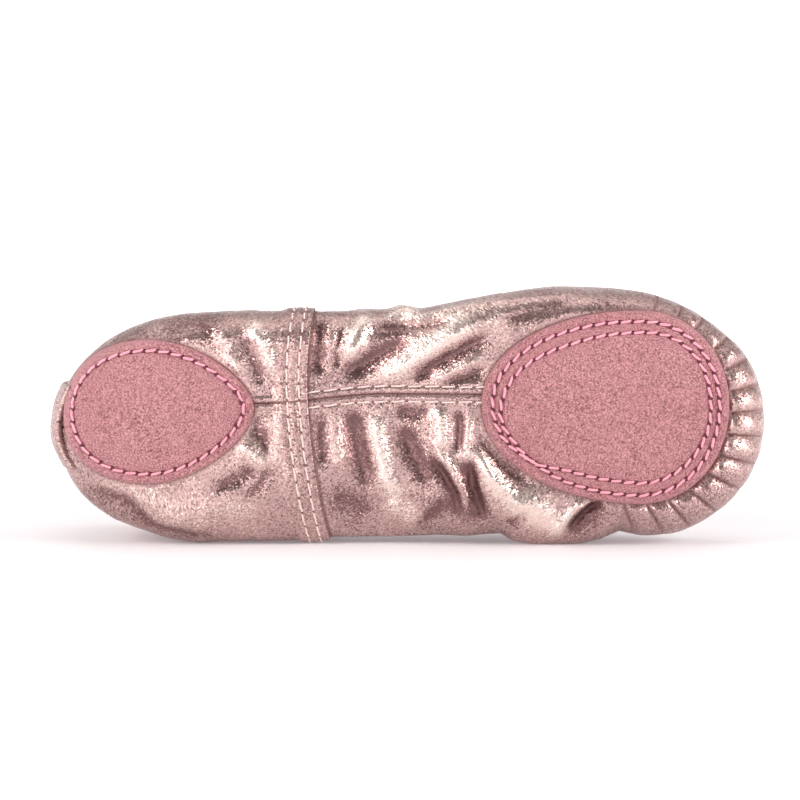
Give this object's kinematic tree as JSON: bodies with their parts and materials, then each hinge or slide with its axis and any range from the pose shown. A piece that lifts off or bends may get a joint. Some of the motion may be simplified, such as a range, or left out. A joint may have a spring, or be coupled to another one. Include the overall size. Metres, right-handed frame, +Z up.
{
  "type": "split-sole ballet slipper",
  "caption": "Soft split-sole ballet slipper in metallic rose-gold fabric with stitched suede sole patches, a gathered toe, a bound topline and crossed elastic straps.",
  "frame": {"origin": "on the floor that the slipper's left side lies on, under the centre of its bounding box", "axes": "+X towards the toe, -Y out of the sole and +Y out of the foot opening, +Z up: the slipper lies on its left side, as it was pictured"},
  "size_m": [0.1914, 0.0502, 0.0686],
  "materials": {
    "metallic_fabric": "metallised woven fabric, rose gold, with a fine glitter grain",
    "cotton_lining": "matte woven cotton",
    "pink_suede": "napped suede, dusty pink, matte",
    "pink_thread": "twisted sewing thread",
    "pale_thread": "twisted sewing thread",
    "insole_pad": "cotton-covered foam, matte",
    "elastic_web": "ribbed woven elastic, soft sheen"
  },
  "bodies": {
    "forefoot": {"vamp": "metallic_fabric", "vamp_lining": "cotton_lining", "forefoot_sole_patch": "pink_suede", "forefoot_patch_outer_stitches": "pink_thread", "forefoot_patch_inner_stitches": "pink_thread", "arch_seam_right_stitches": "pale_thread", "arch_seam_left_stitches": "pale_thread", "forefoot_insole": "insole_pad", "vamp_binding": "metallic_fabric", "topline_elastic": "elastic_web", "instep_strap_lower": "elastic_web", "instep_strap_upper": "elastic_web"},
    "heel": {"quarter_right": "metallic_fabric", "quarter_left": "metallic_fabric", "quarter_lining": "cotton_lining", "heel_sole_patch": "pink_suede", "heel_patch_stitches": "pink_thread", "cross_seam_front_stitches": "pale_thread", "cross_seam_rear_stitches": "pale_thread", "heel_insole": "insole_pad", "heel_back_strip": "metallic_fabric", "quarter_binding": "metallic_fabric"}
  },
  "joints": [
    {"name": "arch_flex", "type": "hinge", "parent": "forefoot", "child": "heel", "pos_m": [-0.0268, -0.0235, 0.031], "axis": [0, 0, 1], "range_deg": [0, 25], "deforming": ["topline_elastic", "instep_strap_lower", "instep_strap_upper"]}
  ]
}
